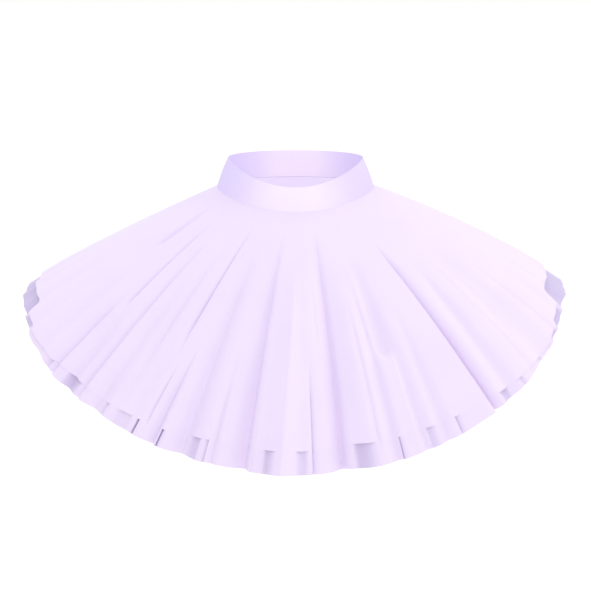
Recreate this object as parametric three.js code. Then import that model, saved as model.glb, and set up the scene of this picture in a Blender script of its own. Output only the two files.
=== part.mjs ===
// A short bell tutu, in the hollow form that it has when it is worn: a fitted hip yoke that dips to
// the front, and two layers of skirt that are sewn to the yoke's lower edge and fall in uneven soft
// pleats.
//
// Millimetres, +Z up, +X to the wearer's left, +Y to the back. The origin is the centre of the hip
// line, level with the side ends of the seam that joins the skirt to the yoke.
//
// Every wall is given by a face, a function of a bearing and a share. The bearing is the angle in
// degrees round the body from the centre front, positive towards the wearer's left. The share runs
// from 0 at a piece's upper edge to 1 at its lower edge.

import * as THREE from "three";

// ---------------------------------------------------------------- driving sizes

const SEAM_GAP = 0.3; // between two pieces that are sewn together
const SKIRT_WALL = 1.6; // one layer of the skirt
const YOKE_WALL = 2.4; // the doubled cloth of the yoke

// The yoke is an ellipse that widens from its upper edge to the seam on the hips.
const YOKE = {
  topHalfWidth: 140,
  topHalfDepth: 109,
  seamHalfWidth: 165,
  seamHalfDepth: 128,
  sideTop: 61, // height of the upper edge at the sides and the back
  frontTopDip: 46, // how far the upper edge dips at the centre front
  frontSeamDip: 29.5, // the same for the seam
  bulge: 1.5, // how far the middle of the yoke stands out from a straight cone
};

// The hem is wide and high at the sides, and hangs lower at the front and the back.
const HEM = {
  halfWidth: 590,
  frontReach: 464,
  backReach: 478,
  rightDrop: 207, // at the wearer's right
  leftDrop: 199,
  frontDrop: 405,
  backDrop: 363,
};

// Where the middle of the bell's curve pulls to, as a share of its reach and of its drop. The bell
// stands a little higher at the wearer's left.
const BELL = { reachPull: 0.55, rightPull: 0.49, leftPull: 0.42, frontPull: 0.3 };

// Where the hems end round the front, as shares of the bell's length. The over layer is the shorter
// one, most of all near the sides. The back's hems end in the same way, but are shorter beside the
// side seams.
const HEM_LINE = [
  { bearing: -90, over: 0.9, under: 1 },
  { bearing: -80, over: 0.91, under: 0.995 },
  { bearing: -70, over: 0.892, under: 0.973 },
  { bearing: -68, over: 0.95, under: 0.977 },
  { bearing: -57, over: 0.972, under: 0.985 },
  { bearing: -50, over: 0.965, under: 1 },
  { bearing: -30, over: 0.945, under: 0.998 },
  { bearing: 0, over: 0.934, under: 1 },
  { bearing: 20, over: 0.937, under: 1.005 },
  { bearing: 46, over: 0.962, under: 1.003 },
  { bearing: 57, over: 0.966, under: 0.982 },
  { bearing: 62, over: 0.93, under: 0.957 },
  { bearing: 68, over: 0.915, under: 0.957 },
  { bearing: 71, over: 0.862, under: 0.953 },
  { bearing: 80, over: 0.87, under: 0.98 },
  { bearing: 90, over: 0.88, under: 1 },
];

const BACK_SIDE_RISE = 0.04;

// Room between the layers along the bell's normal: at the seam, at the hem, and at the hem's sides,
// where the under layer droops.
const LAYER_ROOM = { seam: SKIRT_WALL + SEAM_GAP, hem: 5, sideHem: 11 };
const SIDE_SHARPNESS = 8; // how closely the two sides' own forms keep to the side seams

// The pleats of the front. Each is a valley that runs down the skirt:
//   top, hem   bearing of the valley's line at the seam and at the hem
//   from, to   shares of the length between which it is open
//   deep       how far it goes in at the hem, in mm
//   wide       its half width in degrees
//   lean       above 0 its flank on the wearer's left is the steep one, below 0 the other
const FRONT_PLEATS = [
  { top: -82.0, hem: -84.0, from: 0.35, to: 1.4, deep: 8, wide: 2.0, lean: 0.3 },
  { top: -75.0, hem: -77.0, from: 0.45, to: 1.4, deep: 7, wide: 1.8, lean: -0.3 },
  { top: -67.5, hem: -70.5, from: 0.4, to: 1.4, deep: 9, wide: 1.8, lean: 0.3 },
  { top: -61.0, hem: -63.0, from: 0.55, to: 1.4, deep: 8, wide: 1.4, lean: 0.3 },
  { top: -57.4, hem: -59.6, from: 0.02, to: 0.66, deep: 14, wide: 1.7, lean: 0.1 },
  { top: -52.0, hem: -55.6, from: 0.4, to: 1.4, deep: 8, wide: 2.0, lean: 0.2 },
  { top: -46.6, hem: -50.6, from: 0.5, to: 1.4, deep: 15, wide: 1.4, lean: 0.3 },
  { top: -44.3, hem: -47.9, from: 0.08, to: 0.7, deep: 20, wide: 1.3, lean: 0.3 },
  { top: -40.6, hem: -45.4, from: 0.55, to: 1.4, deep: 10, wide: 1.5, lean: -0.2 },
  { top: -36.6, hem: -41.7, from: 0.1, to: 1.4, deep: 15, wide: 1.4, lean: 0.3 },
  { top: -29.8, hem: -34.9, from: 0.25, to: 1.4, deep: 10, wide: 1.3, lean: 0.3 },
  { top: -26.0, hem: -31.4, from: 0.5, to: 1.4, deep: 10, wide: 1.8, lean: -0.2 },
  { top: -21.6, hem: -28.4, from: 0.04, to: 1.4, deep: 22, wide: 1.5, lean: 0.3 },
  { top: -17.0, hem: -23.4, from: 0.62, to: 1.4, deep: 13, wide: 1.2, lean: 0.3 },
  { top: -13.6, hem: -18.6, from: 0.2, to: 1.4, deep: 21, wide: 1.7, lean: -0.3 },
  { top: -10.0, hem: -14.2, from: 0.45, to: 1.4, deep: 11, wide: 1.1, lean: 0.1 },
  { top: -4.7, hem: -8.7, from: 0.12, to: 1.4, deep: 27, wide: 1.7, lean: 0.15 },
  { top: -1.5, hem: -3.0, from: 0.3, to: 1.4, deep: 14, wide: 1.3, lean: 0.3 },
  { top: 2.7, hem: 2.9, from: 0.55, to: 1.4, deep: 14, wide: 1.0, lean: -0.2 },
  { top: 9.3, hem: 8.1, from: 0.1, to: 1.4, deep: 26, wide: 1.7, lean: -0.2 },
  { top: 14.6, hem: 14.7, from: 0.45, to: 1.4, deep: 12, wide: 1.2, lean: -0.3 },
  { top: 19.8, hem: 20.6, from: 0.2, to: 0.86, deep: 18, wide: 1.8, lean: 0 },
  { top: 23.4, hem: 25.0, from: 0.6, to: 1.4, deep: 12, wide: 1.5, lean: -0.2 },
  { top: 27.4, hem: 29.6, from: 0.55, to: 1.4, deep: 8, wide: 1.3, lean: -0.3 },
  { top: 31.9, hem: 36.6, from: 0.1, to: 1.4, deep: 24, wide: 1.5, lean: -0.4 },
  { top: 40.6, hem: 43.2, from: 0.3, to: 1.4, deep: 14, wide: 1.6, lean: -0.3 },
  { top: 46.0, hem: 48.8, from: 0.55, to: 1.4, deep: 7, wide: 1.4, lean: 0.2 },
  { top: 51.2, hem: 54.2, from: 0.25, to: 1.4, deep: 12, wide: 2.2, lean: -0.3 },
  { top: 57.0, hem: 59.6, from: 0.3, to: 1.4, deep: 8, wide: 1.5, lean: 0.3 },
  { top: 64.0, hem: 66.6, from: 0.5, to: 1.4, deep: 8, wide: 1.6, lean: -0.3 },
  { top: 71.0, hem: 73.4, from: 0.4, to: 1.4, deep: 9, wide: 1.8, lean: 0.3 },
  { top: 78.5, hem: 80.6, from: 0.45, to: 1.4, deep: 7, wide: 1.8, lean: -0.2 },
];
const PLEAT_OPENING = 0.32; // share of the length over which a pleat opens or closes
const BACK_TURN = 178.6; // the back hangs in the same pleats in the opposite order, turned a little

// How the walls are divided. The columns follow the pleats, so that they drift with them.
const BETWEEN_PLEATS = [0, 0.17, 0.38, 0.62, 0.83]; // columns from one pleat to the next
const OVER_ROWS = [0, 0.12, 0.3, 0.52, 0.76, 1];
const UNDER_ROWS = [0, 0.12, 0.3, 0.52, 0.76, 1];
const YOKE_ROWS = [0, 0.5, 1];
const YOKE_COLUMNS = 36; // along half of the yoke
const SLOPE_STEP = 1e-3; // degrees and shares between the points that a slope is measured from

const OVER_CLOTH = { color: 0xf1e4fb, roughness: 0.78, metalness: 0 };
const UNDER_CLOTH = { color: 0xe6d8f4, roughness: 0.8, metalness: 0 };
const YOKE_CLOTH = { color: 0xf3e6fc, roughness: 0.7, metalness: 0 };

// ---------------------------------------------------------------- shape of the garment

const { clamp, degToRad, lerp, mapLinear, smoothstep } = THREE.MathUtils;

/** How far a bearing faces to the side, and to the back, which is below 0 at the front. */
function facing(bearing) {
  return { side: Math.sin(degToRad(bearing)), back: -Math.cos(degToRad(bearing)) };
}

/** A value that is one number at the sides and another at the front or the back. */
function around(bearing, atSide, atFront, atBack) {
  const { back } = facing(bearing);
  return lerp(atSide, back < 0 ? atFront : atBack, back * back);
}

/** 1 at the side seams, and quickly less to the front and the back of them. */
const nearSide = (bearing) => facing(bearing).side ** SIDE_SHARPNESS;

/** A point on an ellipse round the body. */
function ringPoint(bearing, halfWidth, halfDepth, height) {
  const { side, back } = facing(bearing);
  return new THREE.Vector3(halfWidth * side, halfDepth * back, height);
}

/** The unit normal of a face, pointing out of the garment. */
function outward(face, bearing, share) {
  const sideways = face(bearing + SLOPE_STEP, share).sub(face(bearing - SLOPE_STEP, share));
  const down = face(bearing, share + SLOPE_STEP).sub(face(bearing, share - SLOPE_STEP));
  return down.cross(sideways).normalize();
}

/** The outer face of the yoke, from its upper edge down to the seam. */
function yokeFace(bearing, share) {
  const top = YOKE.sideTop - around(bearing, 0, YOKE.frontTopDip, 0);
  const seam = -around(bearing, 0, YOKE.frontSeamDip, 0);
  const bulge = YOKE.bulge * Math.sin(Math.PI * share);
  return ringPoint(
    bearing,
    lerp(YOKE.topHalfWidth, YOKE.seamHalfWidth, share) + bulge,
    lerp(YOKE.topHalfDepth, YOKE.seamHalfDepth, share) + bulge,
    lerp(top, seam, share),
  );
}

/** Where the skirt begins: under the middle of the yoke's wall and a seam's gap below it. */
function seamPoint(bearing) {
  const edge = yokeFace(bearing, 1);
  const down = yokeFace(bearing, 1 + SLOPE_STEP).sub(edge).normalize();
  const inward = outward(yokeFace, bearing, 1).negate();
  return edge.addScaledVector(inward, YOKE_WALL / 2).addScaledVector(down, SEAM_GAP);
}

/** A curve from 0 to 1 whose middle is pulled towards a share of its end. */
const pulled = (share, pull) => 2 * (1 - share) * share * pull + share * share;

/** The bell without its pleats: a smooth dome from the seam out to the hem. */
function bellFace(bearing, share) {
  const { side, back } = facing(bearing);
  const start = seamPoint(bearing);
  const onLeft = side > 0;
  const sideDrop = onLeft ? HEM.leftDrop : HEM.rightDrop;
  const sidePull = onLeft ? BELL.leftPull : BELL.rightPull;
  const drop = around(bearing, sideDrop, HEM.frontDrop, HEM.backDrop);
  const hem = ringPoint(bearing, HEM.halfWidth, back < 0 ? HEM.frontReach : HEM.backReach, -drop);
  const reach = pulled(share, BELL.reachPull);
  const fall = pulled(share, around(bearing, sidePull, BELL.frontPull, BELL.frontPull));
  return new THREE.Vector3(
    lerp(start.x, hem.x, reach),
    lerp(start.y, hem.y, reach),
    lerp(start.z, hem.z, fall),
  );
}

/** The line that a pleat's valley follows, as a bearing at a share of the skirt's length. */
const pleatLine = (pleat, share) => lerp(pleat.top, pleat.hem, share);

/** The length of a half's layer at a bearing, as a share of the bell's. */
function hemLine(half, layer, bearing) {
  const inFront = clamp(half.centre === 0 ? bearing : 180 - bearing, -90, 90);
  const next = Math.max(1, HEM_LINE.findIndex((row) => row.bearing >= inFront));
  const [before, after] = HEM_LINE.slice(next - 1, next + 1);
  const rise = half.centre === 0 ? 0 : BACK_SIDE_RISE * nearSide(bearing);
  return mapLinear(inFront, before.bearing, after.bearing, before[layer], after[layer]) - rise;
}

/** How far a pleat goes in at a place on the skirt, in mm. */
function pleatDepth(pleat, bearing, share) {
  const off = bearing - pleatLine(pleat, share);
  const opens = smoothstep(share, pleat.from, pleat.from + PLEAT_OPENING);
  const closes = 1 - smoothstep(share, pleat.to - PLEAT_OPENING, pleat.to);
  const flank = pleat.wide * (1 - Math.sign(off) * pleat.lean);
  return pleat.deep * share * opens * closes * Math.exp(-((off / flank) ** 2));
}

/** The face of a skirt layer: the bell, lowered by its pleats and by the layer over it. */
function layerFace(pleats, lengthAt, roomAt) {
  return (bearing, share) => {
    const along = share * lengthAt(bearing);
    const inwards = pleats.reduce((sum, pleat) => sum + pleatDepth(pleat, bearing, along), 0);
    const normal = outward(bellFace, bearing, along);
    return bellFace(bearing, along).addScaledVector(normal, -inwards - roomAt(bearing, along));
  };
}

// ---------------------------------------------------------------- making the walls

/** A closed wall of even thickness under a face, over rows of a share and its bearings. */
function clothWall(face, rows, thickness) {
  const width = rows[0].bearings.length;
  const points = [];
  for (const { share, bearings } of rows) {
    for (const bearing of bearings) {
      const outer = face(bearing, share);
      const inward = outward(face, bearing, share).negate();
      points.push(outer, outer.clone().addScaledVector(inward, thickness));
    }
  }
  const outerAt = (row, column) => 2 * (row * width + column);
  const innerAt = (row, column) => outerAt(row, column) + 1;
  const faces = [];
  const quad = (a, b, c, d) => faces.push(a, b, c, a, c, d);
  const lastRow = rows.length - 1;
  const lastColumn = width - 1;
  for (let row = 0; row < lastRow; row++) {
    const next = row + 1;
    for (let column = 0; column < lastColumn; column++) {
      const right = column + 1;
      quad(outerAt(row, column), outerAt(next, column), outerAt(next, right), outerAt(row, right));
      quad(innerAt(row, column), innerAt(row, right), innerAt(next, right), innerAt(next, column));
    }
    quad(outerAt(row, 0), innerAt(row, 0), innerAt(next, 0), outerAt(next, 0));
    quad(
      outerAt(row, lastColumn),
      outerAt(next, lastColumn),
      innerAt(next, lastColumn),
      innerAt(row, lastColumn),
    );
  }
  for (let column = 0; column < lastColumn; column++) {
    const right = column + 1;
    quad(outerAt(0, column), outerAt(0, right), innerAt(0, right), innerAt(0, column));
    quad(
      outerAt(lastRow, column),
      innerAt(lastRow, column),
      innerAt(lastRow, right),
      outerAt(lastRow, right),
    );
  }
  const geometry = new THREE.BufferGeometry().setFromPoints(points);
  geometry.setIndex(faces);
  geometry.computeVertexNormals();
  return geometry;
}

/** The halves meet at side seams, so each stands half of the gap off the plane between them. */
function piece(name, half, geometry, cloth) {
  geometry.translate(0, (SEAM_GAP / 2) * half.towards, 0);
  const mesh = new THREE.Mesh(geometry, new THREE.MeshStandardMaterial(cloth));
  mesh.name = `${name}_${half.name}`;
  return mesh;
}

// ---------------------------------------------------------------- the pieces

const BACK_PLEATS = FRONT_PLEATS.map((pleat) => ({
  ...pleat,
  top: BACK_TURN - pleat.top,
  hem: BACK_TURN - pleat.hem,
  lean: -pleat.lean,
})).reverse();

const HALVES = [
  { name: "front", centre: 0, towards: -1, pleats: FRONT_PLEATS },
  { name: "back", centre: 180, towards: 1, pleats: BACK_PLEATS },
];

/** Columns of a skirt half at a share of its length: they keep to the pleats' lines. */
function skirtBearings(half, share, lengthAt) {
  const end = half.centre + 90;
  const valleys = half.pleats.map((pleat) => pleatLine(pleat, share * lengthAt(pleat.hem)));
  const lines = [half.centre - 90, ...valleys, end];
  const columns = lines
    .slice(0, -1)
    .flatMap((line, i) => BETWEEN_PLEATS.map((part) => lerp(line, lines[i + 1], part)));
  return [...columns, end];
}

function skirtPiece(name, half, shares, lengthAt, roomAt, cloth) {
  const rows = shares.map((share) => ({ share, bearings: skirtBearings(half, share, lengthAt) }));
  const face = layerFace(half.pleats, lengthAt, roomAt);
  return piece(name, half, clothWall(face, rows, SKIRT_WALL), cloth);
}

function overPiece(half) {
  const length = (bearing) => hemLine(half, "over", bearing);
  return skirtPiece("over_layer", half, OVER_ROWS, length, () => 0, OVER_CLOTH);
}

function underPiece(half) {
  const length = (bearing) => hemLine(half, "under", bearing);
  const room = (bearing, share) => {
    const hem = lerp(LAYER_ROOM.hem, LAYER_ROOM.sideHem, nearSide(bearing));
    return lerp(LAYER_ROOM.seam, hem, share);
  };
  return skirtPiece("under_layer", half, UNDER_ROWS, length, room, UNDER_CLOTH);
}

function yokePiece(half) {
  const bearings = Array.from(
    { length: YOKE_COLUMNS + 1 },
    (_, i) => half.centre - 90 + (180 * i) / YOKE_COLUMNS,
  );
  const rows = YOKE_ROWS.map((share) => ({ share, bearings }));
  return piece("yoke", half, clothWall(yokeFace, rows, YOKE_WALL), YOKE_CLOTH);
}

const tutu = new THREE.Group();
for (const half of HALVES) {
  tutu.add(yokePiece(half), overPiece(half), underPiece(half));
}

export default tutu;
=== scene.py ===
"""Dresses the tutu: a hip yoke, a short over layer and an under layer of soft pale lilac cloth."""

import logging
import math
from dataclasses import dataclass, field, replace
from enum import Enum
from typing import Callable

import bpy
import numpy as np
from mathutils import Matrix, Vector


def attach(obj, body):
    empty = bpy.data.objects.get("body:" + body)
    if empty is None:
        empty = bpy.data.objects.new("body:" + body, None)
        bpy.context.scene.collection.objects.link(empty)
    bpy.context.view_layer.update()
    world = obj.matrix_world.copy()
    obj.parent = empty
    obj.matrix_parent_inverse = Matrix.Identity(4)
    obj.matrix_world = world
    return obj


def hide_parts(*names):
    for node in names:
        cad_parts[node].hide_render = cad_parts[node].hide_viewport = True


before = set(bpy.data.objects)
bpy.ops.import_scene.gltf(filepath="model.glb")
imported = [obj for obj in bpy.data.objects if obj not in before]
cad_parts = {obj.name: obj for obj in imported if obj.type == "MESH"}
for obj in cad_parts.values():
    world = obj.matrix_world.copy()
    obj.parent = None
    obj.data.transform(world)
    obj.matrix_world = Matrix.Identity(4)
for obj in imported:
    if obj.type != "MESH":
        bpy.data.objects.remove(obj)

LOG = logging.getLogger("tutu")
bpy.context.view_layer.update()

MM = 0.001
SEAM_GAP = 0.3 * MM
SLOPE_STEP = 1e-3  # degrees or share to each side of a place, between which its slope is measured
CRISP_EDGE = 70.0  # degrees between two faces from which the edge between them is crisp
MEASURED_COLUMNS = 12  # one in so many columns of a face is walked for the length of its cut
BODY = "root"
CUT_MAP = "cut"  # the mesh's map of the flat cut, which the weave follows
PAINTED_SHADE_ATTRIBUTE = "painted_shade"  # the mesh attribute that marks where shade is painted into a cloth's colour

Array = np.ndarray
Face = Callable[[Array, Array], Array]


# -------------------- small helpers


def lerp(start: Array | float, end: Array | float, part: Array | float) -> Array | float:
    """Blends two values, from start at part 0 to end at part 1."""
    return start + (end - start) * part


def smoothstep(value: Array | float, low: float, high: float) -> Array | float:
    """Rises smoothly from 0 at low to 1 at high."""
    part = np.clip((value - low) / (high - low), 0.0, 1.0)
    return part * part * (3.0 - 2.0 * part)


def pulled(share: Array, pull: Array | float) -> Array:
    """A curve from 0 to 1 whose middle is pulled towards a share of its end."""
    return 2.0 * (1.0 - share) * share * pull + share * share


def facing(bearing: Array) -> tuple[Array, Array]:
    """Says how far a bearing faces to the side, and to the back.

    Args:
        bearing: degrees round the body from the centre front, positive towards the wearer's left.

    Returns:
        The sideways part, and the backward part, which is below 0 at the front.
    """
    angle = np.radians(bearing)
    return np.sin(angle), -np.cos(angle)


def around(bearing: Array, at_side: Array | float, at_front: float, at_back: float) -> Array:
    """Gives a value that is one number at the sides and another at the front or the back.

    Args:
        bearing: degrees round the body.
        at_side: the value at both sides.
        at_front: the value at the centre front.
        at_back: the value at the centre back.

    Returns:
        The value at each bearing.
    """
    _, back = facing(bearing)
    return lerp(at_side, np.where(back < 0, at_front, at_back), back * back)


def ring_point(bearing: Array, half_width: Array, half_depth: Array, height: Array) -> Array:
    """Places a point on an ellipse round the body.

    Args:
        bearing: degrees round the body.
        half_width: the ellipse's half axis along X.
        half_depth: the ellipse's half axis along Y.
        height: the height of the point.

    Returns:
        The points, with X, Y and Z in the last axis.
    """
    side, back = facing(bearing)
    return np.stack(np.broadcast_arrays(half_width * side, half_depth * back, height), axis=-1)


def unit(vectors: Array) -> Array:
    """Scales vectors to a length of 1."""
    return vectors / np.linalg.norm(vectors, axis=-1, keepdims=True)


def downward(face: Face, bearing: Array, share: Array) -> Array:
    """The unit vector that runs down a face."""
    return unit(face(bearing, share + SLOPE_STEP) - face(bearing, share - SLOPE_STEP))


def outward(face: Face, bearing: Array, share: Array) -> Array:
    """The unit normal of a face, pointing out of the garment."""
    sideways = face(bearing + SLOPE_STEP, share) - face(bearing - SLOPE_STEP, share)
    return unit(np.cross(downward(face, bearing, share), sideways))


@dataclass(frozen=True)
class Wave:
    """One of the waves that make a face or a hem a little uneven."""

    turns: float  # how often it comes round the body
    shift: float  # radians by which it slides along
    height: float


def ripple(waves: tuple[Wave, ...], bearing: Array, slide: Array | float = 1.0) -> Array:
    """Adds up waves that run round the body.

    Args:
        waves: the waves.
        bearing: degrees round the body.
        slide: how much of its own shift each wave has at a place.

    Returns:
        The sum at each place.
    """
    angle = np.radians(bearing)
    return sum(wave.height * np.sin(wave.turns * angle + wave.shift * slide) for wave in waves)


def add_object(name: str, data: bpy.types.ID) -> bpy.types.Object:
    """Puts a new object into the scene.

    Args:
        name: the object's name.
        data: its mesh, lamp or camera.

    Returns:
        The new object.
    """
    made = bpy.data.objects.new(name, data)
    bpy.context.scene.collection.objects.link(made)
    return made


def linear(hex_colour: str) -> tuple[float, float, float, float]:
    """Turns an sRGB hex colour into the linear colour that a shader takes.

    Args:
        hex_colour: six hex digits, such as "e6daf8".

    Returns:
        Linear red, green, blue and an alpha of 1.
    """
    channels = [int(hex_colour[i : i + 2], 16) / 255 for i in (0, 2, 4)]
    red, green, blue = (
        value / 12.92 if value <= 0.04045 else ((value + 0.055) / 1.055) ** 2.4
        for value in channels
    )
    return red, green, blue, 1.0


def add_node(
    tree: bpy.types.NodeTree,
    kind: str,
    settings: dict[str, object] | None = None,
    inputs: dict[str | int, object] | None = None,
) -> bpy.types.Node:
    """Adds a shader node with its settings and its inputs.

    Args:
        tree: the node tree of a material or a world.
        kind: Blender's name for the node.
        settings: properties of the node itself.
        inputs: for the name or number of each input, a value or the output that is linked to it.

    Returns:
        The new node.
    """
    node = tree.nodes.new(kind)
    for name, value in (settings or {}).items():
        setattr(node, name, value)
    for socket, value in (inputs or {}).items():
        if isinstance(value, bpy.types.NodeSocket):
            tree.links.new(value, node.inputs[socket])
        else:
            node.inputs[socket].default_value = value
    return node


def new_material(name: str) -> bpy.types.Material:
    """Starts a material.

    Args:
        name: the material's name.

    Returns:
        The material, which has no nodes yet.
    """
    material = bpy.data.materials.new(name)
    material.use_nodes = True
    material.node_tree.nodes.clear()
    return material


# -------------------- finishes


@dataclass(frozen=True)
class WovenCloth:
    """A light crisp plain weave of fine polyester thread, calendered smooth.

    The smooth thread gives the eye a soft, milky surface with a faint sheen where it turns away,
    and a weave that is only felt as an even grain.
    """

    name: str
    colour: str
    shade_colour: str  # of the slightly deeper patches that dyed cloth has
    painted_shade_colour: str  # the darker colour painted as shade where the piece marks it
    roughness: float = 0.62
    roughness_spread: float = 0.05  # how much rougher or smoother the slubs make it
    specular: float = 0.35
    sheen: float = 0.22
    sheen_roughness: float = 0.45
    ior: float = 1.46
    thread_spacing: float = 1.1 * MM  # the real threads are 0.3 mm apart and would not show
    thread_height: float = 0.05 * MM
    thread_wander: float = 0.4
    weave_strength: float = 0.35
    patch_size: float = 90 * MM
    patch_detail: float = 2.0
    slub_size: float = 7 * MM
    slub_detail: float = 3.0

    def build(self) -> bpy.types.Material:
        """Makes the material.

        Returns:
            The finished material.
        """
        material = new_material(self.name)
        tree = material.node_tree
        place = add_node(tree, "ShaderNodeUVMap", {"uv_map": CUT_MAP}).outputs["UV"]
        patches = add_node(
            tree,
            "ShaderNodeTexNoise",
            inputs={"Vector": place, "Scale": 1 / self.patch_size, "Detail": self.patch_detail},
        )
        slubs = add_node(
            tree,
            "ShaderNodeTexNoise",
            inputs={"Vector": place, "Scale": 1 / self.slub_size, "Detail": self.slub_detail},
        )
        dyed = add_node(
            tree,
            "ShaderNodeMix",
            {"data_type": "RGBA"},
            {
                "Factor": patches.outputs["Fac"],
                "A": linear(self.colour),
                "B": linear(self.shade_colour),
            },
        )
        # Painted shade: where the piece marks it, the colour is blended towards the darker painted
        # shade colour.
        marks = add_node(tree, "ShaderNodeAttribute", {"attribute_name": PAINTED_SHADE_ATTRIBUTE})
        toned = add_node(
            tree,
            "ShaderNodeMix",
            {"data_type": "RGBA"},
            {
                "Factor": marks.outputs["Fac"],
                "A": dyed.outputs["Result"],
                "B": linear(self.painted_shade_colour),
            },
        )
        rough = add_node(
            tree,
            "ShaderNodeMapRange",
            inputs={
                "Value": slubs.outputs["Fac"],
                "To Min": self.roughness - self.roughness_spread,
                "To Max": self.roughness + self.roughness_spread,
            },
        )
        bump = add_node(
            tree,
            "ShaderNodeBump",
            inputs={
                "Strength": self.weave_strength,
                "Distance": self.thread_height,
                "Height": self._weave(tree, place, slubs.outputs["Fac"]),
            },
        )
        shader = add_node(
            tree,
            "ShaderNodeBsdfPrincipled",
            inputs={
                "Base Color": toned.outputs["Result"],
                "Roughness": rough.outputs["Result"],
                "Metallic": 0.0,
                "IOR": self.ior,
                "Specular IOR Level": self.specular,
                "Sheen Weight": self.sheen,
                "Sheen Roughness": self.sheen_roughness,
                "Normal": bump.outputs["Normal"],
            },
        )
        add_node(tree, "ShaderNodeOutputMaterial", inputs={"Surface": shader.outputs["BSDF"]})
        return material

    def _weave(
        self,
        tree: bpy.types.NodeTree,
        place: bpy.types.NodeSocket,
        slubs: bpy.types.NodeSocket,
    ) -> bpy.types.NodeSocket:
        """Lays warp and weft threads over each other.

        Args:
            tree: the material's node tree.
            place: where the surface lies in the flat cut, in metres.
            slubs: an uneven value that thickens some threads.

        Returns:
            The height of the weave.
        """
        # At a scale of 1 a wave texture has 20 bands in 2 pi units.
        scale = 2 * math.pi / (20 * self.thread_spacing)
        warp, weft = (
            add_node(
                tree,
                "ShaderNodeTexWave",
                {"wave_type": "BANDS", "bands_direction": direction, "wave_profile": "SIN"},
                {"Vector": place, "Scale": scale, "Distortion": self.thread_wander},
            ).outputs["Fac"]
            for direction in ("X", "Y")
        )
        crossing = add_node(tree, "ShaderNodeMath", {"operation": "MULTIPLY"}, {0: warp, 1: weft})
        crossed = crossing.outputs["Value"]
        uneven = add_node(tree, "ShaderNodeMath", {"operation": "ADD"}, {0: crossed, 1: slubs})
        return uneven.outputs["Value"]


# Each cloth's deep colour is painted shade: it darkens the under layer's short folds below the over
# hem and the yoke's sides; the over layer gets none.
OVER_CLOTH = WovenCloth(
    name="lilac_over_cloth",
    colour="eadcf4",
    shade_colour="e5d7f1",
    painted_shade_colour="dacbee",
)
UNDER_CLOTH = WovenCloth(
    name="lilac_under_cloth",
    colour="e9dbf3",
    shade_colour="e4d6f0",
    painted_shade_colour="c6b9dc",
)
YOKE_CLOTH = WovenCloth(
    name="lilac_yoke_cloth",
    colour="f4e7f7",
    shade_colour="efe2f5",
    painted_shade_colour="dacdf2",
    roughness=0.5,
    sheen=0.03,
)


@dataclass(frozen=True)
class SewingThread:
    """Spun polyester sewing thread: matt and a little hairy, and a touch deeper than the cloth."""

    name: str = "sewing_thread"
    colour: str = "e9dcf6"
    roughness: float = 0.75
    sheen: float = 0.3
    fibre_size: float = 0.4 * MM
    fibre_height: float = 0.1 * MM
    fibre_strength: float = 0.3

    def build(self) -> bpy.types.Material:
        """Makes the material.

        Returns:
            The finished material.
        """
        material = new_material(self.name)
        tree = material.node_tree
        place = add_node(tree, "ShaderNodeTexCoord").outputs["Object"]
        fibres = add_node(
            tree, "ShaderNodeTexNoise", inputs={"Vector": place, "Scale": 1 / self.fibre_size}
        )
        bump = add_node(
            tree,
            "ShaderNodeBump",
            inputs={
                "Strength": self.fibre_strength,
                "Distance": self.fibre_height,
                "Height": fibres.outputs["Fac"],
            },
        )
        shader = add_node(
            tree,
            "ShaderNodeBsdfPrincipled",
            inputs={
                "Base Color": linear(self.colour),
                "Roughness": self.roughness,
                "Sheen Weight": self.sheen,
                "Normal": bump.outputs["Normal"],
            },
        )
        add_node(tree, "ShaderNodeOutputMaterial", inputs={"Surface": shader.outputs["BSDF"]})
        return material


@dataclass(frozen=True)
class StudioPaint:
    """Matt white emulsion paint, rolled on: it gives the eye an even white with hardly a gloss."""

    name: str = "studio_paint"
    colour: str = "fcfcfd"
    roughness: float = 0.9
    specular: float = 0.1

    def build(self) -> bpy.types.Material:
        """Makes the material.

        Returns:
            The finished material.
        """
        material = new_material(self.name)
        tree = material.node_tree
        shader = add_node(
            tree,
            "ShaderNodeBsdfPrincipled",
            inputs={
                "Base Color": linear(self.colour),
                "Roughness": self.roughness,
                "Specular IOR Level": self.specular,
            },
        )
        add_node(tree, "ShaderNodeOutputMaterial", inputs={"Surface": shader.outputs["BSDF"]})
        return material


# -------------------- cloth walls


class Half(Enum):
    """The halves of the garment, which meet at the side seams."""

    FRONT = "front"
    BACK = "back"

    @property
    def centre(self) -> float:
        """The bearing of the half's centre."""
        return 0.0 if self is Half.FRONT else 180.0

    @property
    def off_seam(self) -> Array:
        """How far the half stands off the plane through the side seams."""
        return np.array([0.0, SEAM_GAP / 2 * (-1 if self is Half.FRONT else 1), 0.0])


@dataclass(frozen=True)
class FlatCut:
    """The flared piece that a half is cut as: a sector between two arcs about one centre.

    Its inner arc is as long as the piece's upper edge, its outer arc as long as the lower edge,
    and the arcs lie as far apart as the cloth between those edges is long.
    """

    upper: float
    lower: float
    length: float

    @property
    def angle(self) -> float:
        """The sector's angle in radians."""
        return (self.lower - self.upper) / self.length

    @property
    def inner_radius(self) -> float:
        """Radius of the inner arc."""
        return self.upper / self.angle

    @property
    def outer_radius(self) -> float:
        """Radius of the outer arc."""
        return self.inner_radius + self.length

    @property
    def area(self) -> float:
        """Flat area in square metres."""
        return (self.upper + self.lower) / 2 * self.length

    @property
    def box(self) -> tuple[float, float]:
        """The rectangle that the piece is cut from.

        Returns:
            Its width and its length.
        """
        half_angle = self.angle / 2
        width = 2 * self.outer_radius * math.sin(min(half_angle, math.pi / 2))
        return width, self.outer_radius - self.inner_radius * math.cos(half_angle)

    def place(self, across: Array, share: Array) -> Array:
        """Lays the piece out flat, which gives the grain its straight run.

        Args:
            across: from 0 at one side seam to 1 at the other.
            share: from 0 at the upper edge to 1 at the lower edge.

        Returns:
            Flat places in metres, with two numbers in the last axis.
        """
        angle = (across - 0.5) * self.angle
        radius = self.inner_radius + share * self.length
        return np.stack([radius * np.sin(angle), radius * np.cos(angle)], axis=-1)


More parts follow.
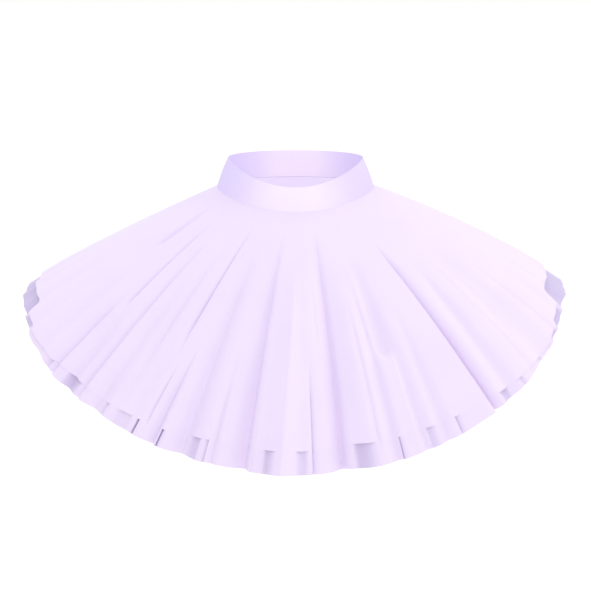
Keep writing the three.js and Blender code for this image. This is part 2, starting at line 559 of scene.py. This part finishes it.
def walk(points: Array) -> Array:
    """The distance walked along a line of points, up to each of them."""
    return np.concatenate([[0.0], np.cumsum(np.linalg.norm(np.diff(points, axis=0), axis=1))])


def measure_cut(grid: Array) -> FlatCut:
    """Works out the flat cut of a piece from its hung form.

    Args:
        grid: the points of its outer face, in rows from the upper to the lower edge.

    Returns:
        The flat cut.
    """
    measured = range(0, grid.shape[1], MEASURED_COLUMNS)
    length = np.mean([walk(grid[:, column])[-1] for column in measured])
    return FlatCut(float(walk(grid[0])[-1]), float(walk(grid[-1])[-1]), float(length))


def shell(name: str, outer: Array, inner: Array, cut: FlatCut, deeper: Array) -> bpy.types.Object:
    """Makes a closed shell from its outer and its inner face.

    Args:
        name: the name of the new object.
        outer: points of the outer face, in rows and columns.
        inner: points of the inner face, in the same rows and columns.
        cut: the flat cut, which the weave follows.
        deeper: how much shade is painted into the cloth's colour, from 0 to 1, in the same rows and
            columns.

    Returns:
        The new object, smooth on both faces and crisp along its edges.
    """
    rows, columns = outer.shape[:2]
    count = rows * columns
    index = np.arange(count).reshape(rows, columns)
    corners = (index[:-1, :-1], index[1:, :-1], index[1:, 1:], index[:-1, 1:])
    front = np.stack(corners, axis=-1).reshape(-1, 4)
    back = front[:, ::-1] + count
    ring = np.concatenate([index[0, :-1], index[:-1, -1], index[-1, :0:-1], index[:0:-1, 0]])
    ahead = np.roll(ring, -1)
    rim = np.stack([ring, ahead, ahead + count, ring + count], axis=-1)
    faces = np.concatenate([front, back, rim])
    points = np.concatenate([outer.reshape(-1, 3), inner.reshape(-1, 3)])
    mesh = bpy.data.meshes.new(name)
    mesh.from_pydata(points.tolist(), [], faces.tolist())
    mesh.polygons.foreach_set("use_smooth", np.ones(len(faces), dtype=bool))
    mesh.set_sharp_from_angle(angle=math.radians(CRISP_EDGE))
    down, along = walk(outer[:, columns // 2]), walk(outer[-1])
    across, share = np.meshgrid(along / along[-1], down / down[-1])
    flat = np.tile(cut.place(across, share).reshape(-1, 2), (2, 1))
    used = np.empty(len(mesh.loops), dtype=np.int64)
    mesh.loops.foreach_get("vertex_index", used)
    mesh.uv_layers.new(name=CUT_MAP).data.foreach_set("uv", flat[used].ravel())
    marks = mesh.attributes.new(PAINTED_SHADE_ATTRIBUTE, "FLOAT", "POINT")
    marks.data.foreach_set("value", np.tile(deeper.ravel(), 2))
    mesh.update()
    return add_object(name, mesh)


def dress(piece: bpy.types.Object, material: bpy.types.Material) -> None:
    """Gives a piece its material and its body.

    Args:
        piece: the new piece.
        material: its finish.
    """
    piece.data.materials.append(material)
    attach(piece, BODY)


# -------------------- the yoke


@dataclass(frozen=True)
class Yoke:
    """The fitted band on the hips, of doubled cloth, which dips at the centre front."""

    cloth: WovenCloth
    top_half_width: float = 140 * MM
    top_half_depth: float = 109 * MM
    seam_half_width: float = 165 * MM
    seam_half_depth: float = 128 * MM
    side_top: float = 61 * MM
    front_top_dip: float = 46 * MM
    front_seam_dip: float = 29.5 * MM
    bulge: float = 1.5 * MM
    wall: float = 0.6 * MM
    skirt_inset: float = 0.02 * MM  # how far inside the yoke's face the skirt is sewn on
    skirt_gap: float = 0.02 * MM
    drag: float = 0.5 * MM  # how far the cloth ripples where it is drawn round the hips
    drag_waves: tuple[Wave, ...] = (Wave(9, 2.2, 2 / 3), Wave(23, -1.3, 1 / 3))
    unshaded_until: float = 0.2  # how far to the side the band has no painted shade
    fully_shaded_from: float = 0.95  # how far to the side the painted shade is full
    columns: int = 180
    rows: int = 20

    def face(self, bearing: Array, share: Array) -> Array:
        """The smooth outer face, from the upper edge down to the seam.

        Args:
            bearing: degrees round the body.
            share: from 0 at the upper edge to 1 at the seam.

        Returns:
            The points.
        """
        top = self.side_top - around(bearing, 0.0, self.front_top_dip, 0.0)
        seam = -around(bearing, 0.0, self.front_seam_dip, 0.0)
        bulge = self.bulge * np.sin(np.pi * share)
        return ring_point(
            bearing,
            lerp(self.top_half_width, self.seam_half_width, share) + bulge,
            lerp(self.top_half_depth, self.seam_half_depth, share) + bulge,
            lerp(top, seam, share),
        )

    def seam_point(self, bearing: Array) -> Array:
        """Where the skirt begins, just inside the yoke's face and right below it.

        Args:
            bearing: degrees round the body.

        Returns:
            The points.
        """
        end = np.ones_like(bearing)
        down = downward(self.face, bearing, end)
        inward = -outward(self.face, bearing, end)
        return self.face(bearing, end) + inward * self.skirt_inset + down * self.skirt_gap

    def _drag_lines(self, bearing: Array, share: Array) -> Array:
        """Soft slanting ripples in the band, none at its edges."""
        return self.drag * np.sin(np.pi * share) ** 2 * ripple(self.drag_waves, bearing, share)

    def _painted_side_shade(self, bearing: Array) -> Array:
        """Painted shade: the band's colour is darkened towards its sides, where less light falls,
        and kept pale at the front and the back.
        """
        return smoothstep(np.abs(facing(bearing)[0]), self.unshaded_until, self.fully_shaded_from)

    def build(self, half: Half) -> bpy.types.Object:
        """Makes one half of the yoke.

        Args:
            half: front or back.

        Returns:
            The piece.
        """
        bearings = np.linspace(half.centre - 90, half.centre + 90, self.columns + 1)
        bearing, share = np.meshgrid(bearings, np.linspace(0, 1, self.rows + 1))
        normal = outward(self.face, bearing, share)
        sunk = self._drag_lines(bearing, share)
        outer = self.face(bearing, share) + half.off_seam - normal * sunk[..., None]
        inner = outer - normal * self.wall
        cut = measure_cut(outer)
        # Shade is painted into the band's colour towards its sides.
        piece = shell(f"yoke_{half.value}_cloth", outer, inner, cut, self._painted_side_shade(bearing))
        dress(piece, self.cloth.build())
        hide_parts(f"yoke_{half.value}")
        LOG.info("yoke_%s is cut %.0f by %.0f mm", half.value, cut.box[0] / MM, cut.box[1] / MM)
        return piece


# -------------------- the skirt


@dataclass(frozen=True)
class Pleat:
    """A valley that runs down the skirt, or a ridge.

    The flank on the wearer's left is the steep one where lean is above 0, and the other where it
    is below 0.
    """

    top: float  # the bearing of its line at the seam
    hem: float  # the bearing of its line at the under layer's hem
    start: float  # the share of the length at which it starts to open
    end: float  # the share at which it has closed again
    deep: float  # millimetres at the hem, below 0 for a ridge
    wide: float  # half its width in degrees
    lean: float = 0.0
    crisp: float = 0.0  # from 0 to 1, how far its steep flank is folded into an edge
    curve: float = 2.0  # 2 for a round valley, near 1 for a sharp one, over 3 for a flat floor
    opening: float = 0.32  # the share of the length over which it opens
    closing: float = 0.32  # the share of the length over which it closes
    painted_shade_strength: float = 0.0  # how much shade is painted into the cloth's colour in it

    def line(self, share: Array) -> Array:
        """The bearing that the valley's line has at a share."""
        return lerp(self.top, self.hem, share)

    def depth(self, bearing: Array, share: Array) -> Array:
        """How far the valley goes in, in metres.

        Args:
            bearing: degrees round the body.
            share: share of the under layer's length.

        Returns:
            The depth at each place.
        """
        opens = smoothstep(share, self.start, self.start + self.opening)
        closes = 1 - smoothstep(share, self.end - self.closing, self.end)
        return self.deep * MM * share * opens * closes * self._section(bearing, share)

    def deeper(self, bearing: Array, share: Array) -> Array:
        """How much shade is painted into the cloth's colour in the valley, from 0 to 1.

        Args:
            bearing: degrees round the body.
            share: share of the under layer's length.

        Returns:
            The value at each place.
        """
        opens = smoothstep(share, self.start - self.opening / 2, self.start + self.opening / 4)
        return self.painted_shade_strength * opens * self._section(bearing, share)

    def _section(self, bearing: Array, share: Array) -> Array:
        """The valley's section: 1 on its line and 0 beside it.

        Args:
            bearing: degrees round the body.
            share: share of the under layer's length.

        Returns:
            The value at each place.
        """
        off = bearing - self.line(share)
        leaning = np.sign(off) * self.lean
        flank = self.wide * (1 - leaning) * np.where(leaning > 0, 1 - self.crisp, 1.0)
        return np.exp(-(np.abs(off / flank) ** self.curve))


OPEN = 1.4  # the end of a pleat that is still open at the hem

# The front's pleats, in order round the body from the wearer's right to the left.
# Columns: top, hem, start, end, deep, wide, lean, crisp, curve, opening, closing.
FRONT_PLEATS = (
    Pleat(-82.0, -84.0, 0.35, OPEN, 3, 2.0, 0.3),
    Pleat(-75.0, -77.0, 0.45, OPEN, 3, 1.8, -0.3, 0.3),
    Pleat(-67.5, -70.5, 0.40, OPEN, 5, 1.8, 0.3),
    Pleat(-61.0, -63.0, 0.55, OPEN, 4, 1.6, 0.3),
    Pleat(-55.6, -58.2, 0.02, 0.42, 24, 1.1, 0.1, 0.0, 2.0, 0.15, 0.15),
    Pleat(-52.0, -56.0, 0.40, OPEN, 7, 2.0, -0.2),
    Pleat(-45.9, -49.8, 0.56, OPEN, 13, 1.1, 0.4, 0.8, 1.4, 0.2),
    Pleat(-43.3, -46.9, 0.08, 0.66, 15, 0.6, 0.4, 0.8, 1.4, 0.2, 0.1),
    Pleat(-41.2, -45.6, 0.55, OPEN, 15, 1.6, -0.3),
    Pleat(-36.4, -41.6, 0.08, OPEN, 10, 0.8, 0.35, 0.7, 1.6),
    Pleat(-32.6, -38.0, 0.30, OPEN, 15, 1.8, -0.2),
    Pleat(-28.4, -33.4, 0.22, 0.98, 14, 1.1, 0.2, 0.0, 1.6, 0.2, 0.4),
    Pleat(-25.0, -30.2, 0.50, OPEN, 5, 1.4),
    Pleat(-20.8, -28.3, 0.02, 0.72, 15, 0.65, 0.35, 0.9, 1.4, 0.26, 0.2),
    Pleat(-19.4, -27.3, 0.72, 0.96, 5, 0.45, 0.3, 0.8, 1.5, 0.1, 0.04),
    Pleat(-17.4, -24.8, 0.62, OPEN, 13, 1.3, 0.4, 0.75, 1.6, 0.24),
    Pleat(-15.2, -19.9, 0.14, OPEN, 27, 2.2, 0.1, 0.0, 1.6),
    Pleat(-10.4, -14.4, 0.55, OPEN, 6, 0.6, 0.1, 0.3),
    Pleat(-5.6, -8.5, 0.08, OPEN, 27, 2.3, 0.6, 0.5, 1.3),
    Pleat(1.0, -2.5, 0.24, OPEN, -15, 2.2, 0.0, 0.0, 1.3),
    Pleat(2.7, 2.9, 0.64, OPEN, 5, 0.28, -0.3, 0.8, 1.4, 0.16),
    Pleat(4.8, 5.0, 0.30, 0.72, 6, 0.6, 0.2),
    Pleat(8.7, 8.1, 0.06, OPEN, 27, 1.9, 0.3, 0.3, 1.4),
    Pleat(10.2, 9.8, 0.20, OPEN, 12, 2.2),
    Pleat(14.2, 14.6, 0.45, 0.97, 4, 0.6, 0.3, 0.3, 1.7, 0.2, 0.05),
    Pleat(16.6, 17.5, 0.30, OPEN, 10, 1.2, 0.2, 0.2, 1.8),
    Pleat(19.9, 19.9, 0.20, 0.70, 17, 1.8, -0.1, 0.0, 2.6, 0.4, 0.04),
    Pleat(21.4, 22.6, 0.55, OPEN, 9, 1.1, -0.3, 0.2),
    Pleat(25.4, 26.6, 0.50, OPEN, 8, 1.2, 0.3),
    Pleat(31.2, 36.7, 0.20, OPEN, 30, 0.75, -0.4, 0.95, 1.2, 0.22),
    Pleat(39.2, 41.7, 0.30, OPEN, 9, 1.8, 0.2),
    Pleat(45.6, 48.2, 0.55, OPEN, 2, 1.4, 0.2, 0.3),
    Pleat(50.2, 52.8, 0.25, OPEN, 8, 3.4),
    Pleat(56.6, 60.2, 0.40, OPEN, 2, 1.4, 0.3, 0.3),
    Pleat(64.0, 66.6, 0.50, OPEN, 3, 1.6, -0.3),
    Pleat(71.0, 73.4, 0.40, OPEN, 3, 1.8, 0.3),
    Pleat(78.5, 80.6, 0.45, OPEN, 3, 1.8, -0.2),
)

# Short folds near the hem of the under layer, where it shows below the over layer, with shade
# painted into their colour where the over hem and their hollows shade them.
# Columns: bearing at the hem, start, deep, wide, lean, crisp, curve, painted shade.
UNDER_FOLDS = (
    (-79.4, 0.78, 3, 10.3, 0.0, 0.0, 20.0, 1.0),
    (-66.2, 0.84, 3, 2.1, 0.0, 0.0, 10.0, 0.8),
    (-51.5, 0.86, 4, 0.5, 0.4, 0.9, 1.4, 0.3),
    (-44.9, 0.86, 5, 1.8, 0.0, 0.0, 8.0, 0.7),
    (-36.0, 0.86, 4, 0.4, 0.0, 0.0, 2.0, 0.4),
    (-31.2, 0.86, 2, 1.6, 0.3, 0.2, 6.0, 0.25),
    (-29.0, 0.86, 9, 0.14, -0.4, 0.6, 1.6, 1.0),
    (-24.2, 0.86, 9, 0.14, -0.4, 0.6, 1.6, 1.0),
    (-17.5, 0.86, 6, 1.0, 0.3, 0.4, 6.0, 0.6),
    (-15.5, 0.86, 4, 0.3, 0.4, 0.8, 1.4, 0.4),
    (-5.0, 0.86, 6, 0.8, -0.3, 0.6, 4.0, 0.5),
    (1.0, 0.86, 4, 0.8, 0.0, 0.0, 4.0, 0.4),
    (11.3, 0.86, 7, 1.6, -0.2, 0.3, 3.0, 0.8),
    (18.3, 0.88, 5, 0.14, -0.4, 0.6, 1.6, 0.6),
    (23.9, 0.86, 4, 0.7, -0.3, 0.4, 3.0, 0.4),
    (29.2, 0.86, 7, 0.14, -0.4, 0.6, 1.6, 0.9),
    (40.6, 0.86, 5, 0.9, 0.0, 0.0, 4.0, 0.6),
    (45.0, 0.88, 3, 0.5, 0.3, 0.3, 2.0, 0.3),
    (52.0, 0.86, 2, 0.8, 0.3, 0.4, 2.0, 0.2),
    (59.4, 0.86, 3, 1.5, 0.0, 0.0, 8.0, 0.6),
    (65.2, 0.84, 4, 2.9, 0.0, 0.0, 12.0, 0.9),
    (79.8, 0.76, 4, 10.3, 0.0, 0.0, 20.0, 1.0),
)

# Ranges that the faint folds are drawn from. Rows: start, end, deep, wide, lean.
FAINT_RANGES = ((0.15, 0.6), (0.8, 1.7), (1.0, 3.4), (0.9, 2.6), (-0.4, 0.4))
FAINT_SEEDS = {Half.FRONT: 7, Half.BACK: 11}

# Where the hems end. Columns: bearing, then the over and the under layer's length as a share.
HEM_LINE = np.array(
    (
        (-90.0, 0.900, 1.000),
        (-80.0, 0.910, 0.995),
        (-71.0, 0.890, 0.975),
        (-69.4, 0.905, 0.973),
        (-68.4, 0.950, 0.978),
        (-63.6, 0.955, 0.980),
        (-62.8, 0.968, 0.991),
        (-57.0, 0.972, 0.993),
        (-55.8, 0.974, 0.999),
        (-51.6, 0.972, 1.004),
        (-50.6, 0.962, 1.009),
        (-45.0, 0.955, 1.006),
        (-36.0, 0.957, 1.003),
        (-24.0, 0.947, 1.003),
        (-15.0, 0.936, 1.003),
        (0.0, 0.936, 1.001),
        (11.0, 0.934, 1.005),
        (24.0, 0.946, 1.009),
        (36.0, 0.958, 1.008),
        (41.0, 0.966, 1.004),
        (46.0, 0.970, 1.001),
        (50.0, 0.974, 0.992),
        (57.0, 0.972, 0.985),
        (58.2, 0.958, 0.972),
        (61.4, 0.952, 0.969),
        (62.4, 0.930, 0.963),
        (68.8, 0.922, 0.960),
        (69.8, 0.848, 0.948),
        (75.0, 0.845, 0.962),
        (80.0, 0.854, 0.980),
        (90.0, 0.868, 1.000),
    )
)


class Layer(Enum):
    """The layers of the skirt."""

    OVER = "over_layer"
    UNDER = "under_layer"


@dataclass(frozen=True)
class Skirt:
    """Two flared layers that stand out from the yoke as a bell and fall in uneven soft pleats."""

    yoke: Yoke
    over_cloth: WovenCloth
    under_cloth: WovenCloth
    hem_half_width: float = 590 * MM
    front_reach: float = 464 * MM
    back_reach: float = 478 * MM
    right_drop: float = 207 * MM
    left_drop: float = 199 * MM
    front_drop: float = 405 * MM
    back_drop: float = 363 * MM
    reach_pull: float = 0.55  # how far out the middle of the bell is drawn
    right_pull: float = 0.49  # how far down it is drawn on the right, and so on
    left_pull: float = 0.42
    front_pull: float = 0.3
    hem_waves: tuple[Wave, ...] = (
        Wave(17, 2.0, 0.001),
        Wave(29, 0.0, 0.0006),
        Wave(61, 0.6, 0.0004),
    )
    back_side_rise: float = 0.04  # how much shorter the back is beside the side seams
    side_sharpness: int = 8  # how closely the sides' own forms keep to the side seams
    seam_room: float = 0.7 * MM
    hem_room: float = 0.85 * MM
    side_hem_room: float = 8 * MM  # where the under layer droops
    wall: float = 0.4 * MM
    hem_edge: float = 0.93  # the share of a layer's own length from which it thins to its cut edge
    hem_thin: float = 0.05  # how thin the cut edge of a hem is, as a share of the wall
    draw_up: float = 0.12  # how far a pleat draws its hem up, as a share of its depth
    draw_up_from: float = 0.5  # the share of the length from which it does so
    back_turn: float = 178.6  # the sum of a front pleat's bearing and its twin's on the back
    own_fold_opening: float = 0.1
    faint_folds: int = 26  # on each half, besides the pleats
    faint_spread: float = 86.0  # degrees to each side of a half's centre that they lie within
    rows: int = 76
    columns_between: dict[Layer, int] = field(
        default_factory=lambda: {Layer.OVER: 13, Layer.UNDER: 8}
    )

    def bell(self, bearing: Array, share: Array) -> Array:
        """The bell without its pleats: a smooth dome from the seam out to the hem.

        Args:
            bearing: degrees round the body.
            share: from 0 at the seam to 1 at the under layer's hem.

        Returns:
            The points.
        """
        side, back = facing(bearing)
        on_left = side > 0
        side_drop = np.where(on_left, self.left_drop, self.right_drop)
        side_pull = np.where(on_left, self.left_pull, self.right_pull)
        drop = around(bearing, side_drop, self.front_drop, self.back_drop)
        depth = np.where(back < 0, self.front_reach, self.back_reach)
        start = self.yoke.seam_point(bearing)
        hem = ring_point(bearing, self.hem_half_width, depth, -drop)
        reach = pulled(share, self.reach_pull)
        fall = pulled(share, around(bearing, side_pull, self.front_pull, self.front_pull))
        return np.stack(
            [
                lerp(start[..., 0], hem[..., 0], reach),
                lerp(start[..., 1], hem[..., 1], reach),
                lerp(start[..., 2], hem[..., 2], fall),
            ],
            axis=-1,
        )

    def pleats(self, half: Half) -> tuple[Pleat, ...]:
        """The pleats of a half. The back hangs in the front's, in the opposite order.

        Args:
            half: front or back.

        Returns:
            The pleats, in order round the body.
        """
        if half is Half.FRONT:
            return FRONT_PLEATS
        return tuple(
            replace(p, top=self.back_turn - p.top, hem=self.back_turn - p.hem, lean=-p.lean)
            for p in reversed(FRONT_PLEATS)
        )

    def _drift(self, half: Half, hem_bearings: Array | float) -> Array | float:
        """Says where lines start at the seam that run down beside the pleats.

        Args:
            half: front or back.
            hem_bearings: the bearings at which the lines reach the hem.

        Returns:
            Their bearings at the seam.
        """
        pleats = self.pleats(half)
        ends = [half.centre - 90, half.centre + 90]
        hems = [ends[0], *(p.hem for p in pleats), ends[1]]
        tops = [ends[0], *(p.top for p in pleats), ends[1]]
        return np.interp(hem_bearings, hems, tops)

    def _own_folds(self, half: Half) -> tuple[Pleat, ...]:
        """The short folds near the under layer's hem.

        Args:
            half: front or back.

        Returns:
            The folds.
        """
        opening = self.own_fold_opening
        folds = []
        for bearing, start, deep, wide, lean, crisp, curve, painted_shade_strength in UNDER_FOLDS:
            hem = bearing
            if half is Half.BACK:
                hem, lean = self.back_turn - bearing, -lean
            top = float(self._drift(half, hem))
            fold = Pleat(top, hem, start, OPEN, deep, wide, lean, crisp, curve, opening, painted_shade_strength=painted_shade_strength)
            folds.append(fold)
        return tuple(folds)

    def _faint_folds(self, half: Half) -> tuple[Pleat, ...]:
        """Faint soft folds, at places drawn from a fixed seed.

        Args:
            half: front or back.

        Returns:
            The folds.
        """
        random = np.random.default_rng(FAINT_SEEDS[half])
        spread = self.faint_spread
        hems = half.centre + random.uniform(-spread, spread, self.faint_folds)
        return tuple(
            Pleat(float(top), float(hem), *(float(random.uniform(*ends)) for ends in FAINT_RANGES))
            for top, hem in zip(self._drift(half, hems), hems)
        )

    def _length(self, layer: Layer, half: Half, bearing: Array) -> Array:
        """How long a layer is, as a share of the bell, with a hem that is never quite even.

        Args:
            layer: the layer.
            half: front or back.
            bearing: degrees round the body.

        Returns:
            The length at each bearing.
        """
        front_bearing = bearing if half is Half.FRONT else 180 - bearing
        ends, over, under = HEM_LINE.T
        even = np.interp(front_bearing, ends, over if layer is Layer.OVER else under)
        rise = 0.0 if half is Half.FRONT else self.back_side_rise * self._near_side(bearing)
        return even + ripple(self.hem_waves, bearing) - rise

    def _at_hem(self, own_share: Array) -> Array:
        """Rises from 0 to 1 over the last few centimetres above a layer's hem."""
        return smoothstep(own_share, self.hem_edge, 1.0)

    def _near_side(self, bearing: Array) -> Array:
        """1 at the side seams, and quickly less to the front and the back of them."""
        return facing(bearing)[0] ** self.side_sharpness

    def _grid(self, layer: Layer, half: Half) -> tuple[Array, Array]:
        """Bearings and shares of a half's grid, whose columns follow the pleats.

        Args:
            layer: the layer.
            half: front or back.

        Returns:
            Bearings and shares of the layer's own length, in rows and columns.
        """
        lines = list(self.pleats(half))
        if layer is Layer.UNDER:
            lines = sorted(lines + list(self._own_folds(half)), key=lambda fold: fold.hem)
        share = np.linspace(0, 1, self.rows + 1)
        ends = [np.full_like(share, half.centre - 90), np.full_like(share, half.centre + 90)]
        tracks = [ends[0], *(fold.line(share) for fold in lines), ends[1]]
        steps = self.columns_between[layer]
        # Columns crowd beside each line, where the cloth turns most.
        parts = 0.5 - 0.5 * np.cos(np.pi * np.arange(steps) / steps)
        columns = [
            lerp(track[:, None], after[:, None], parts[None, :])
            for track, after in zip(tracks, tracks[1:])
        ]
        bearing = np.concatenate([*columns, ends[1][:, None]], axis=1)
        return np.broadcast_arrays(bearing, share[:, None])

    def surface(self, layer: Layer, half: Half) -> tuple[Array, Array, Array]:
        """The outer face of a layer's half, the way to its inner face, and how much shade is
        painted into its colour.

        Args:
            layer: the layer.
            half: front or back.

        Returns:
            The points, the steps from them to the inner face, and how much shade is painted into
            the colour.
        """
        bearing, own_share = self._grid(layer, half)
        share = own_share * self._length(layer, half, bearing)
        folds = self.pleats(half) + self._faint_folds(half)
        depth = sum(fold.depth(bearing, share) for fold in folds)
        drawn = self.draw_up * depth * smoothstep(share, self.draw_up_from, 1.0)
        deeper = np.zeros_like(depth)
        if layer is Layer.OVER:
            depth = depth + self.hem_room * self._at_hem(own_share)  # it lies on the under layer
        else:
            own = self._own_folds(half)
            hem_room = lerp(self.hem_room, self.side_hem_room, self._near_side(bearing))
            depth = depth + sum(fold.depth(bearing, share) for fold in own)
            depth = depth + lerp(self.seam_room, hem_room, share)
            # Painted shade: the under layer's own folds darken its colour where the over layer
            # shades it.
            deeper = np.clip(sum(fold.deeper(bearing, share) for fold in own), 0.0, 1.0)
        normal = outward(self.bell, bearing, share)
        down = downward(self.bell, bearing, share)
        points = self.bell(bearing, share) - normal * depth[..., None] - down * drawn[..., None]
        wall = self.wall * lerp(1.0, self.hem_thin, self._at_hem(own_share))
        return points + half.off_seam, -normal * wall[..., None], deeper

    def build(self, layer: Layer, half: Half) -> bpy.types.Object:
        """Makes one half of a layer.

        Args:
            layer: the layer.
            half: front or back.

        Returns:
            The piece.
        """
        outer, inward, deeper = self.surface(layer, half)
        cut = measure_cut(outer)
        node = f"{layer.value}_{half.value}"
        piece = shell(f"{node}_cloth", outer, outer + inward, cut, deeper)
        cloth = self.over_cloth if layer is Layer.OVER else self.under_cloth
        dress(piece, cloth.build())
        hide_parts(node)
        LOG.info("%s is cut %.0f by %.0f mm", node, cut.box[0] / MM, cut.box[1] / MM)
        return piece


# -------------------- sewing


@dataclass(frozen=True)
class EdgeStitching:
    """The row of stitches along the yoke's lower edge, which holds the skirt's cloth."""

    yoke: Yoke
    thread: SewingThread
    above_seam: float = 3.2 * MM
    stitch: float = 3.0 * MM
    pitch: float = 3.9 * MM
    radius: float = 0.18 * MM
    sunk: float = 0.6  # how far a stitch's ends lie inside the cloth, in radii
    end_width: float = 0.55  # how thin its ends are, as a share of its width
    sides: int = 6
    steps: int = 5
    walk_steps: int = 1440  # into which the way round the yoke is divided to measure it

    def build(self) -> bpy.types.Object:
        """Makes all the stitches as one piece.

        Returns:
            The piece.
        """
        bearing = np.linspace(0, 360, self.walk_steps + 1)
        share = self._share(bearing)
        walked = walk(self.yoke.face(bearing, share))
        count = int(walked[-1] / self.pitch)
        points: list[Array] = []
        faces: list[list[int]] = []
        for number in range(count):
            middle = (number + 0.5) * walked[-1] / count
            ends = np.interp([middle - self.stitch / 2, middle + self.stitch / 2], walked, bearing)
            self._add_stitch(points, faces, ends)
        mesh = bpy.data.meshes.new("yoke_edge_stitching")
        mesh.from_pydata(np.concatenate(points).tolist(), [], faces)
        mesh.polygons.foreach_set("use_smooth", np.ones(len(mesh.polygons), dtype=bool))
        mesh.update()
        piece = add_object(mesh.name, mesh)
        dress(piece, self.thread.build())
        return piece

    def _share(self, bearing: Array) -> Array:
        """The yoke's share at which the stitches run, an even way above its lower edge.

        Args:
            bearing: degrees round the body.

        Returns:
            The share at each bearing.
        """
        top = self.yoke.face(bearing, np.zeros_like(bearing))
        seam = self.yoke.face(bearing, np.ones_like(bearing))
        return 1 - self.above_seam / np.linalg.norm(seam - top, axis=-1)

    def _add_stitch(self, points: list[Array], faces: list[list[int]], ends: Array) -> None:
        """Adds one stitch: a short thread that dips into the cloth at both ends.

        Args:
            points: the points so far, added to.
            faces: the faces so far, added to.
            ends: the bearings of its ends.
        """
        first = len(points) * self.sides
        bearing = np.linspace(*ends, self.steps)
        share = self._share(bearing)
        normal = outward(self.yoke.face, bearing, share)
        down = downward(self.yoke.face, bearing, share)
        rise = np.sin(np.pi * np.linspace(0, 1, self.steps))[:, None]
        centre = self.yoke.face(bearing, share) + normal * self.radius * lerp(-self.sunk, 1.0, rise)
        turn = np.arange(self.sides) * 2 * np.pi / self.sides
        for step in range(self.steps):
            width = self.radius * lerp(self.end_width, 1.0, rise[step])
            ring = np.cos(turn)[:, None] * normal[step] + np.sin(turn)[:, None] * down[step]
            points.append(centre[step] + width * ring)
        for step in range(self.steps - 1):
            start = first + step * self.sides
            for side in range(self.sides):
                after = (side + 1) % self.sides
                above = start + self.sides
                faces.append([start + side, start + after, above + after, above + side])
        last = first + (self.steps - 1) * self.sides
        faces.append([first + side for side in reversed(range(self.sides))])
        faces.append([last + side for side in range(self.sides)])


# -------------------- the studio


@dataclass(frozen=True)
class SoftSun:
    """A very wide, even source of light, like a large window far away."""

    name: str
    place: tuple[float, float, float]
    lift: float  # how much it adds to a white surface that faces it
    spread: float  # its width in degrees
    colour: tuple[float, float, float] = (1.0, 1.0, 1.0)

    def build(self, target: Vector) -> None:
        """Hangs the lamp.

        Args:
            target: the point that it faces.
        """
        data = bpy.data.lights.new(self.name, "SUN")
        data.energy = self.lift * math.pi
        data.angle = math.radians(self.spread)
        data.color = self.colour
        lamp = add_object(self.name, data)
        lamp.location = self.place
        lamp.rotation_euler = (target - lamp.location).to_track_quat("-Z", "Y").to_euler()


@dataclass(frozen=True)
class Studio:
    """A white room with a pale floor, soft lamps and a camera that looks down a little."""

    floor_height: float = -1.6
    floor_size: float = 60.0
    eye: tuple[float, float, float] = (0.0, -1.5, 0.255)
    look_down: float = 18.4  # degrees
    view_angle: float = 45.0  # degrees
    room_colour: str = "fcfcff"
    room_light: float = 0.83
    backdrop_colour: str = "ffffff"
    lit_place: tuple[float, float, float] = (0.0, 0.0, -0.15)  # the middle of the garment
    lamps: tuple[SoftSun, ...] = (
        SoftSun("front_lamp", (0.2, -2.0, 0.4), 0.17, 40.0),
        SoftSun("top_lamp", (0.0, 1.0, 1.8), 0.12, 60.0),
        SoftSun("left_lamp", (1.6, 0.4, 1.05), 0.24, 40.0),
        SoftSun("right_lamp", (-1.5, 0.6, 1.19), 0.13, 60.0),
    )

    def build(self) -> None:
        """Sets up the room, the floor, the lamps and the camera."""
        scene = bpy.context.scene
        scene.view_settings.view_transform = "Standard"
        self._room(scene)
        self._floor()
        for lamp in self.lamps:
            lamp.build(Vector(self.lit_place))
        self._camera(scene)

    def _room(self, scene: bpy.types.Scene) -> None:
        """Gives the room its even light, in front of a white backdrop.

        Args:
            scene: the scene that the room is for.
        """
        world = bpy.data.worlds.new("white_room")
        world.use_nodes = True
        tree = world.node_tree
        tree.nodes.clear()
        glow = add_node(
            tree,
            "ShaderNodeBackground",
            inputs={"Color": linear(self.room_colour), "Strength": self.room_light},
        )
        backdrop = add_node(
            tree, "ShaderNodeBackground", inputs={"Color": linear(self.backdrop_colour)}
        )
        seen = add_node(tree, "ShaderNodeLightPath").outputs["Is Camera Ray"]
        room = add_node(
            tree,
            "ShaderNodeMixShader",
            inputs={"Fac": seen, 1: glow.outputs["Background"], 2: backdrop.outputs["Background"]},
        )
        add_node(tree, "ShaderNodeOutputWorld", inputs={"Surface": room.outputs["Shader"]})
        scene.world = world

    def _floor(self) -> None:
        """Lays the floor."""
        half = self.floor_size / 2
        corners = [(-half, -half), (half, -half), (half, half), (-half, half)]
        mesh = bpy.data.meshes.new("floor")
        mesh.from_pydata([(x, y, self.floor_height) for x, y in corners], [], [(0, 1, 2, 3)])
        mesh.materials.append(StudioPaint().build())
        add_object("floor", mesh)

    def _camera(self, scene: bpy.types.Scene) -> None:
        """Sets up the camera, which looks down along +Y.

        Args:
            scene: the scene that the camera is for.
        """
        data = bpy.data.cameras.new("camera")
        data.lens_unit = "FOV"
        data.angle = math.radians(self.view_angle)
        camera = add_object("camera", data)
        camera.location = self.eye
        camera.rotation_euler = (math.radians(90 - self.look_down), 0.0, 0.0)
        scene.camera = camera


# -------------------- the whole


def main() -> None:
    """Builds the studio and the garment, and reports each piece."""
    logging.basicConfig(level=logging.INFO, format="%(name)s: %(message)s")
    Studio().build()
    yoke = Yoke(YOKE_CLOTH)
    skirt = Skirt(yoke, OVER_CLOTH, UNDER_CLOTH)
    pieces: list[bpy.types.Object] = []
    for half in Half:
        pieces.append(yoke.build(half))
        pieces.extend(skirt.build(layer, half) for layer in Layer)
    pieces.append(EdgeStitching(yoke, SewingThread()).build())
    for piece in pieces:
        LOG.info("built %s with %d faces", piece.name, len(piece.data.polygons))


if __name__ == "__main__":
    main()
